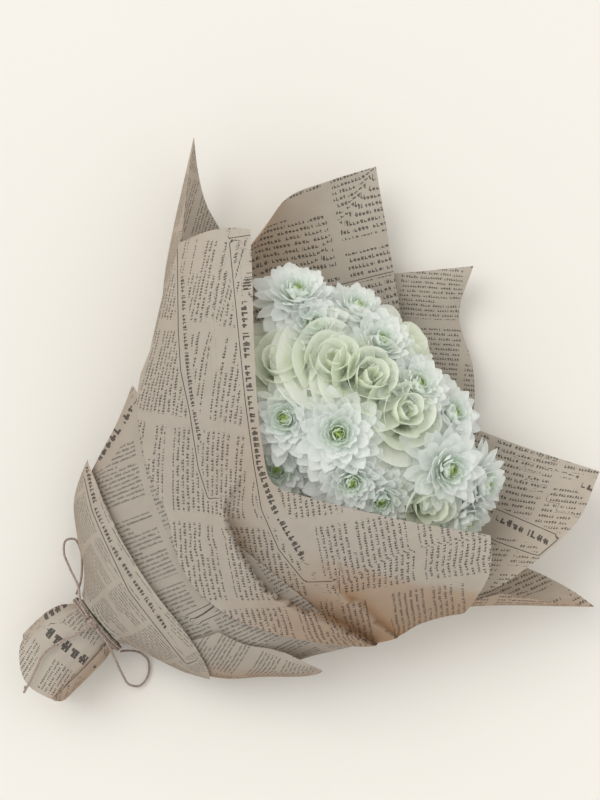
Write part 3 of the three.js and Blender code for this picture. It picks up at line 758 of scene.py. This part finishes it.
SPIKE_LEFT = [
    [(-9, 0, 12.8), (-34, 80, 4), (-70, 170, 4.4), (-120, 230, 5), (-174, 272, 9)],
    [(-14, 0, 16.2), (-58, 80, 5.4), (-106, 170, 6), (-156, 230, 8), (-207, 278, 14)],
    [(-17.6, 0, 21.5), (-80, 78, 14), (-128, 170, 16), (-176, 225, 18), (-230, 289, 24)],
    [(-19.2, 0, 27.5), (-89, 75, 34), (-137, 165, 38), (-190, 222, 36), (-254, 305, 42)],
    [(-19.2, 0, 32.5), (-89, 75, 46), (-135, 160, 54), (-178, 212, 58), (-223, 272, 60)],
    [(-18.4, 0, 37), (-86, 74, 55), (-130, 150, 65), (-162, 192, 72), (-194, 242, 76)],
    [(-16.8, 0, 41), (-79, 70, 63), (-114, 126, 73), (-128, 150, 77), (-146, 176, 82)],
]
spike_left_print = paper_material("print_spike_left", 120, 2.9, 48, 41, shade=0.93)
spike_left = net_grid(SPIKE_LEFT, 34, 7, 3)
sheet("paper_spike_left", spike_left, spike_left_print, replaces="sheet_spike_left")

COLLAR_INNER = [
    (112, 1, 105), (98, 1, 130), (84, 1, 138), (66, 1, 138), (45, 1, 130), (22, 1, 120),
    (0, 1, 120), (-22, 1, 130), (-45, 1, 138), (-66, 1, 140), (-84, 1, 140), (-98, 1, 132), (-112, 1, 110),
]
collar_inner_print = paper_material("print_collar_inner", 75, 3.6, 58, 53, shade=0.96)
collar_inner = bell_grid(COLLAR_INNER, 26, 6, lambda bearing, y: 9)
sheet("paper_collar_inner", collar_inner, collar_inner_print, replaces="sheet_collar_inner")

FRONT_BAND = [
    (72, 150, 240), (66, 138, 247), (58, 128, 259), (50, 119, 273), (41, 110, 290, 1), (34, 105, 262),
    (27, 101, 235), (18, 96, 208), (10, 88, 190), (0, 79, 176), (-10, 75, 192), (-20, 77, 214),
    (-30, 82, 244), (-38, 90, 280, 1), (-50, 104, 262), (-62, 122, 243), (-74, 140, 230), (-86, 152, 222),
    (-98, 160, 214),
]


FOLD_ONE = [(-16, 152), (-10, 134), (6, 127), (38, 119), (64, 118), (88, 128), (112, 138), (134, 147),
            (156, 156)]
FOLD_TWO = [(86, 158), (99, 162), (121, 166), (140, 168), (156, 171), (172, 172)]
front_band = bell_grid(
    FRONT_BAND, 44, 9,
    lambda bearing, y: 12 - 5.5 * step(bearing, 40, 66) * step(y, 130, 180))
for row in front_band:
    for point in row:
        one = edge_distance(point.x, point.y, FOLD_ONE)
        lift = step(point.x, -30, 20)
        if one < 0:
            point.z += lift * 16 * math.exp(one / 28)
        else:
            point.z -= lift * 9 * math.exp(-one / 16)
        two = edge_distance(point.x, point.y, FOLD_TWO)
        reach = step(point.x, 80, 120)
        if two < 0:
            point.z += reach * 7 * math.exp(two / 12)
        else:
            point.z -= reach * 4 * math.exp(-two / 7)
front_print = paper_material("print_front_band", 140, 4.6, 74, 61)
TAN_LINE = [(50, 162), (75, 172), (107, 193), (133, 210), (173, 246)]


def front_painted_shading(x, y, z):
    """Painted shade: tan below the edge of the hidden sheet behind and in the folds' hollows, with a painted warm
    patch of light let through.
    """
    tan = 0.42 * step(x, 40, 110) * step(-edge_distance(x, y, TAN_LINE), -4, 4)
    one, two = edge_distance(x, y, FOLD_ONE), edge_distance(x, y, FOLD_TWO)
    hollow = 0.5 * step(x, -20, 20) * math.exp(-one / 9) if one > 0 else 0
    hollow += 0.5 * step(x, 80, 110) * math.exp(-two / 7) if two > 0 else 0
    patch = 0.22 * math.exp(-(math.hypot((x + 20) / 34, (y - 190) / 46)) ** 2)
    return tan + hollow + patch


sheet("paper_front_band", front_band, front_print,
      painted_shading=front_painted_shading,
      replaces="sheet_front_band")

COLLAR_LOW = [
    (-34, 8, 66), (-46, 8, 76), (-58, 8, 96), (-70, 8, 106), (-80, 8, 108), (-94, 8, 92), (-106, 8, 66),
]
collar_low_print = paper_material("print_collar_low", 110, 3.0, 46, 71, shade=0.95)
collar_low = bell_grid(
    COLLAR_LOW, 26, 8,
    lambda bearing, y: 12.5 + 13 * step(y, 60, 105) * step(-bearing, 48, 72))
# Painted shade: browner the lower the paper lies, from 78 mm down to 38 mm.
sheet("paper_collar_low", collar_low, collar_low_print,
      painted_shading=lambda x, y, z: 0.5 * step(78 - z, 0, 40), replaces="sheet_collar_low")

COLLAR_OUTER = [
    (104, 2, 62), (90, 0, 72), (76, -2, 71), (60, -3, 68), (44, -4, 62), (26, -4, 55), (10, -4, 50),
    (-8, -4, 47), (-24, -4, 46), (-40, -4, 43), (-56, -3, 39), (-72, -2, 35), (-86, 0, 33), (-100, 2, 32),
]
collar_outer_print = paper_material("print_collar_outer", -5, 2.7, 40, 83)
collar_outer = bell_grid(COLLAR_OUTER, 20, 7, lambda bearing, y: 16.5)
sheet("paper_collar_outer", collar_outer, collar_outer_print, replaces="sheet_collar_outer")

# %% [markdown]
# ## The handle
# One sheet wound once round the stems, with pleats that deepen towards the cut ends.

# %%
handle_radius = through([(-80, 31.5), (-60, 31.5), (-35, 31.5), (-22, 29), (-14, 25.2), (-8, 24.4),
        (-5.5, 24.6)])
handle_shift = through([(-80, -2), (-60, -4), (-35, -6), (-20, -5), (-8, -2.5), (-5.5, -2.5)])


def handle_grid(rows, columns):
    grid = []
    for i in range(rows + 1):
        t = i / rows
        row = []
        for j in range(columns + 1):
            angle = j / columns * 2 * math.pi * 1.06 - 1.2
            side = math.sin(angle)
            end = -80 + (20 if side > 0 else 12) * side * side
            y = -5.5 + (end + 5.5) * t
            pleat = 1 + 0.022 * t * math.cos(7 * angle) - 0.02 * t * math.cos(4 * angle + 1)
            pleat += 0.014 * (1 - t) * math.cos(19 * angle + 3 * t) + 0.006 * math.sin(11 * angle + 9 * t)
            r = (handle_radius(y) + 1.6 * j / columns) * pleat - 1.6
            row.append(Vector((handle_shift(y) - r * side, y, 30 + 2.6 * t + r * math.cos(angle))))
        grid.append(row)
    return grid


handle_print = paper_material("print_handle", 60, 3.4, 40, 97, shade=1.06)
# Painted shade: browner on the handle's +x side, away from the light.
sheet("paper_handle", handle_grid(26, 120), handle_print,
      painted_shading=lambda x, y, z: 0.3 * step(x, 4, 24), replaces="handle_wrap")

# %% [markdown]
# ## Petals
# A petal is a small grid. Each point keeps a tone, 0 for the yellow-green heart and 1 for the petal's
# own white, and a map for its fine veins.

# %%
rng = random.Random(5)


def petal_material(name, heart, own, rim, roughness, through):
    material, tree, output = start(name)
    tone = source(tree, "ShaderNodeAttribute", output=2, attribute_name="tone")
    flat = source(tree, "ShaderNodeUVMap", uv_map="veins")
    veins = flat.node("ShaderNodeTexNoise", flat, None, 9.0, 3.0, 0.6)
    colour = tone.smooth(0.0, 0.55).mix(heart, own)
    colour = tone.smooth(0.7, 1.0).mix(colour, rim)
    colour = (veins.smooth(0.35, 0.8) * 0.12).mix(colour, tuple(0.88 * value for value in own))
    surface(tree, output, colour, roughness, through, bump=veins * 1.6)
    return material


MUM_PETALS = petal_material("white_petals", (0.66, 0.84, 0.18), (0.92, 0.98, 0.93), (0.95, 0.98, 0.96),
        0.6, 0.42)
ROSE_PETALS = petal_material("cream_petals", (0.84, 0.92, 0.62), (0.93, 0.97, 0.86), (0.95, 0.97, 0.91),
        0.5, 0.42)


class Bloom:
    """Gathers petals round an axis and then becomes one mesh."""

    def __init__(self, centre, facing, radius):
        self.centre = Vector(centre)
        self.turn = Vector((0, 0, 1)).rotation_difference(Vector(facing).normalized())
        self.radius = radius
        self.points, self.faces, self.tones, self.maps = [], [], [], []

    def grid(self, rows, tone):
        """rows of local points; tone(s, point) gives each one's tone."""
        first = len(self.points)
        across = len(rows[0])
        for i, row in enumerate(rows):
            for j, point in enumerate(row):
                self.points.append(self.centre + self.turn @ point)
                self.tones.append(tone(i / (len(rows) - 1), point))
                self.maps.append((j / (across - 1) + first * 0.37, 0.25 * i / (len(rows) - 1)))
        for i in range(len(rows) - 1):
            for j in range(across - 1):
                a = first + i * across + j
                self.faces.append((a, a + 1, a + across + 1, a + across))

    def finish(self, name, material, slot):
        mesh = bpy.data.meshes.new(name)
        mesh.from_pydata([place(point) for point in self.points], [], self.faces)
        tones = mesh.attributes.new("tone", "FLOAT", "POINT")
        tones.data.foreach_set("value", self.tones)
        veins = mesh.uv_layers.new(name="veins")
        for loop in mesh.loops:
            veins.data[loop.index].uv = self.maps[loop.vertex_index]
        for face in mesh.polygons:
            face.use_smooth = True
        mesh.materials.append(material)
        obj = bpy.data.objects.new("petals_" + name, mesh)
        bpy.context.scene.collection.objects.link(obj)
        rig.ride(obj, "root")
        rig.slot(obj, slot)
        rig.replaces(obj, name)


def ray(angle, base, height, rise, bend, length, width, cup, twist):
    """A long petal: rise and bend in degrees above the face, along its length."""
    out = Vector((math.cos(angle), math.sin(angle), 0))
    side = Vector((-math.sin(angle), math.cos(angle), 0))
    rows = []
    point = out * base + Vector((0, 0, height))
    steps = 7
    for i in range(steps + 1):
        s = i / steps
        slope = math.radians(rise + bend * s)
        ahead = out * math.cos(slope) + Vector((0, 0, math.sin(slope)))
        up = Vector((0, 0, math.cos(slope))) - out * math.sin(slope)
        broad = 0.34 + 0.66 * step(s, 0.0, 0.6)
        if s > 0.66:
            broad *= max(1 - ((s - 0.66) / 0.34) ** 2.0, 0.05) ** 0.62
        row = []
        for j in (-1, -0.5, 0, 0.5, 1):
            lift = cup * width * (j * j - 0.3) * (1 - 0.4 * s) - 0.05 * width * (1 - abs(j)) * s
            row.append(
                point
                + side * (j * width * broad / 2 * math.cos(twist * s))
                + up * (lift * broad + j * math.sin(twist * s) * width * 0.3)
            )
        rows.append(row)
        point = point + ahead * (length / steps)
    return rows


def mum(name, centre, facing, radius):
    bloom = Bloom(centre, facing, radius)
    count = 104
    for k in range(count):
        t = k / (count - 1)
        angle = k * 2.39996 + rng.uniform(-0.12, 0.12)
        length = radius * (1.0 - 0.80 * t**1.2) * rng.uniform(0.90, 1.06)
        width = radius * (0.42 - 0.24 * t) * rng.uniform(0.88, 1.12)
        rise = -16 + 92 * t**1.15 + rng.uniform(-7, 7)
        bend = (16 + 44 * t) if t > 0.25 else rng.uniform(-14, 26)
        rows = ray(angle, 0.16 * radius * (1 - t) + 0.4, -6.5 + 5.0 * t, rise, bend, length, width,
                   rng.uniform(0.06, 0.18), rng.uniform(-0.5, 0.5))
        inner = step(t, 0.80, 0.98)

        def tone(s, point, inner=inner):
            away = math.hypot(point.x, point.y) / (0.44 * radius)
            return min(1, max(0, 0.05 + 0.95 * away**1.4 + 0.30 * s * (1 - inner))) * (1 - 0.18 * inner)

        bloom.grid(rows, tone)
    calyx = [[Vector((r * math.cos(a), r * math.sin(a), z)) for a in
              [n * math.pi / 6 for n in range(13)]]
             for r, z in ((1.5, -23), (5, -18), (8, -11), (7, -6), (1, -3))]
    bloom.grid(calyx, lambda s, point: 0.0)
    bloom.finish(name, MUM_PETALS, "white_petal")


def rose(name, centre, facing, radius):
    bloom = Bloom(centre, facing, radius)
    rings = ((3, 0.13, 3, 0), (3, 0.30, 4, 0.03), (4, 0.50, 2, 0.10), (4, 0.72, -3, 0.22),
            (5, 0.94, -8, 0.36),
             (5, 1.0, -14, 0.42))
    turn = rng.uniform(0, 6)
    for ring, (number, rim, top, flare) in enumerate(rings):
        turn += 1.1
        span = math.pi / number * (1.5 if ring < 3 else 1.28)
        for k in range(number):
            middle = turn + k * 2 * math.pi / number + rng.uniform(-0.1, 0.1)
            lean = rng.uniform(-0.04, 0.04)
            peak = rng.uniform(0.06, 0.16)
            wave = rng.uniform(-1, 1)
            rows = []
            for i in range(9):
                s = i / 8
                row = []
                for j in range(-4, 5):
                    f = j / 4
                    angle = (middle + f * span * (0.45 + 0.55 * math.sin(min(s * 1.9, 1.57)))
                             * (1 - 0.2 * s**3))
                    reach = 1 - 0.22 * f**4 + peak * (1 - abs(f)) * 0.5
                    h = -36 + (36 + top) * s * reach
                    r = radius * (0.06 + (rim + lean + 0.02 * f) * math.sin(min(s * 1.45, 1.5)) ** 0.8)
                    r += radius * flare * step(s, 0.55, 1.0) * (1 - 0.35 * f * f)
                    h -= radius * flare * 0.55 * step(s, 0.7, 1.0) * (0.4 + f * f)
                    r += 0.8 * wave * math.sin(5 * f + ring) * s
                    row.append(Vector((r * math.cos(angle), r * math.sin(angle), h)))
                rows.append(row)
            depth = ring / 5
            bloom.grid(
                rows,
                lambda s, point, depth=depth: min(
                    1, 0.30 + 0.42 * depth + 0.4 * s**2 - 0.12 * (1 - depth)),
            )
    bloom.finish(name, ROSE_PETALS, "cream_petal")

# %% [markdown]
# ## The head
# Each bloom replaces the plain solid of the same name: centre of its open face, direction, radius.

# %%
BLOOMS = [
    ("mum_1", "mum", (3, 240, 150), (0.02, 0.06, 1), 38),
    ("mum_2", "mum", (38, 224, 141), (0.3, -0.12, 0.95), 33),
    ("mum_3", "mum", (-32, 216, 139), (-0.2, -0.1, 1), 36),
    ("mum_4", "mum", (-6, 187, 122), (0, -0.32, 0.95), 35),
    ("mum_5", "mum", (-102, 286, 112), (-0.4, 0.55, 0.7), 34),
    ("mum_6", "mum", (-74, 280, 125), (-0.25, 0.3, 0.9), 30),
    ("mum_7", "mum", (80, 288, 126), (0.4, 0.3, 0.85), 38),
    ("mum_8", "mum", (108, 302, 98), (0.7, 0.5, 0.5), 32),
    ("mum_9", "mum", (120, 272, 98), (0.85, 0.15, 0.5), 32),
    ("mum_10", "mum", (49, 318, 106), (0.25, 0.7, 0.65), 33),
    ("mum_11", "mum", (64, 232, 130), (0.4, -0.15, 0.9), 33),
    ("mum_12", "mum", (14, 312, 126), (0.05, 0.6, 0.8), 32),
    ("mum_13", "mum", (-30, 312, 124), (-0.15, 0.6, 0.8), 32),
    ("mum_14", "mum", (-62, 314, 104), (-0.3, 0.75, 0.6), 33),
    ("mum_15", "mum", (-22, 326, 64), (-0.05, 1, 0.05), 33),
    ("mum_16", "mum", (84, 304, 66), (0.45, 0.85, 0.05), 32),
    ("rose_1", "rose", (-72, 242, 138), (-0.4, 0.1, 0.9), 34),
    ("rose_2", "rose", (-45, 276, 146), (-0.12, 0.35, 0.95), 33),
    ("rose_3", "rose", (-15, 291, 147), (0, 0.42, 0.9), 33),
    ("rose_4", "rose", (-14, 333, 100), (0.1, 0.95, 0.4), 32),
    ("rose_5", "rose", (94, 258, 128), (0.5, 0.05, 0.9), 32),
    ("rose_6", "rose", (24, 294, 143), (0.15, 0.4, 0.9), 33),
    ("rose_7", "rose", (-76, 300, 66), (-0.5, 0.8, 0), 32),
    ("rose_8", "rose", (32, 322, 64), (0.15, 1, 0.05), 32),
]
for name, kind, centre, facing, radius in BLOOMS:
    (mum if kind == "mum" else rose)(name, centre, facing, radius)

# % [markdown]
# ## The twine
# Two turns round the neck, a knot, two loops and one long tail over the handle.

# %
TWINE_RADIUS = 0.95
material, tree, output = start("twine")
where = source(tree, "ShaderNodeTexCoord", output=3)
fibres = where.node("ShaderNodeTexNoise", where, None, 900.0, 3.0, 0.6)
surface(tree, output, fibres.smooth(0.3, 0.7).mix((0.24, 0.17, 0.14), (0.50, 0.42, 0.37)), 0.9, 0.0,
        bump=fibres * 2)
TWINE = material

LOOP_LEFT = [
    (-11.5, -8.5, 61), (-24, -6, 55), (-36, 0, 40), (-52, 3, 24), (-65, 7, 14), (-71, 14, 10),
    (-67, 20, 9), (-57, 18, 10), (-48, 12, 14), (-38, 3, 22), (-32, -6, 30),
]
LOOP_RIGHT = [
    (-0.6, -9.5, 61.4), (12, -10, 58), (26, -14, 44), (42, -20, 22), (53, -22, 8), (59, -16, 4),
    (56, -5, 3), (47, 2, 4), (38, 1, 8), (31, -4, 15), (27, -9, 22),
]
TAIL = [
    (-6, -14, 61.8), (-7, -22, 63.4), (-11, -38, 66), (-12, -54, 66.4), (-7, -66, 67.6),
    (-2, -77, 67.6), (1, -86, 59), (1, -87, 40), (-1, -87, 24),
]


def twine(name, points, steps):
    data = bpy.data.curves.new(name, "CURVE")
    data.dimensions = "3D"
    data.bevel_depth = TWINE_RADIUS * MM
    data.bevel_resolution = 3
    data.use_fill_caps = True
    line = data.splines.new("POLY")
    line.points.add(steps)
    for index in range(steps + 1):
        line.points[index].co = (*place(spline(points, index / steps)), 1)
    data.materials.append(TWINE)
    obj = bpy.data.objects.new("cord_" + name, data)
    bpy.context.scene.collection.objects.link(obj)
    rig.ride(obj, "root")
    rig.slot(obj, "twine")
    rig.replaces(obj, name)
    return obj


def round_neck():
    points = []
    for i in range(57):
        angle = i / 28 * 2 * math.pi + 0.35
        wander = 0.35 * math.sin(3 * angle)
        points.append(Vector((-2.5 - 26.9 * math.sin(angle), -8.7 + 2.3 * (i / 28 - 1) + wander, 30 + 26.9
                * math.cos(angle))))
    return points


binding = twine("twine_binding", round_neck(), 200)
bpy.ops.mesh.primitive_uv_sphere_add(segments=20, ring_count=12, radius=1)
knot = bpy.context.object
knot.name = "knot"
knot.data.transform(Matrix.Translation(place((-6, -9, 60.6))) @ Matrix.Diagonal((0.0044, 0.0036, 0.0028, 1)))
for vertex in knot.data.vertices:
    away = vertex.co - place((-6, -9, 60.6))
    vertex.co += away * 0.14 * math.sin(9 * math.atan2(away.y, away.x) + 900 * away.z)
for face in knot.data.polygons:
    face.use_smooth = True
knot.data.materials.append(TWINE)
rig.ride(knot, "root")
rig.slot(knot, "twine")
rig.replaces(knot, "twine_knot")
paths = {
    "twine_loop_left": [Vector(point) for point in LOOP_LEFT],
    "twine_loop_right": [Vector(point) for point in LOOP_RIGHT],
    "twine_tail": [Vector(point) for point in TAIL],
}
cords = {name: twine(name, points, 140) for name, points in paths.items()}
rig.cord(binding, exit=tuple(place(round_neck()[0])), length=0.338, diameter=0.0019, far_end="knot",
        stiffness="limp", lay="taut", with_pieces=[knot])
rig.cord(cords["twine_loop_left"], exit=tuple(place(LOOP_LEFT[0])), length=0.143, diameter=0.0019,
        far_end="object",
        stiffness="limp", lay="loose")
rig.cord(cords["twine_loop_right"], exit=tuple(place(LOOP_RIGHT[0])), length=0.143, diameter=0.0019,
        far_end="object",
        stiffness="limp", lay="loose")
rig.cord(cords["twine_tail"], exit=tuple(place(TAIL[0])), length=0.115, diameter=0.0019, far_end="bare",
        stiffness="limp", lay="loose")

# %% [markdown]
# ## Surface and light

# %%
material, tree, output = start("floor")
principled = tree.nodes.new("ShaderNodeBsdfPrincipled")
principled.inputs["Base Color"].default_value = (0.865, 0.845, 0.795, 1)
principled.inputs["Roughness"].default_value = 0.9
tree.links.new(principled.outputs[0], output.inputs[0])
bpy.ops.mesh.primitive_plane_add(size=6, location=(0, 0, -0.0005))
floor = bpy.context.object
floor.name = "floor"
floor.data.materials.append(material)
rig.stage(floor)

bpy.context.scene.view_settings.view_transform = "Standard"
world = bpy.data.worlds.new("world")
world.use_nodes = True
bpy.context.scene.world = world
world.node_tree.nodes["Background"].inputs[0].default_value = (1.0, 0.985, 0.96, 1)
world.node_tree.nodes["Background"].inputs[1].default_value = 0.84


data = bpy.data.lights.new("window", "SUN")
data.energy = 0.95
data.angle = math.radians(38)
data.color = (1.0, 0.985, 0.95)
window = bpy.data.objects.new("window", data)
bpy.context.scene.collection.objects.link(window)
towards = Matrix.Rotation(TURN, 3, "Z") @ Vector((-0.55, 0.45, 1.0))
window.rotation_euler = towards.to_track_quat("Z", "Y").to_euler()
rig.stage(window)

now_low, now_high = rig.bounds()
with open("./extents.json", "w") as report:
    json.dump({"frame": [list(low), list(high)], "visual": [list(now_low), list(now_high)]}, report)
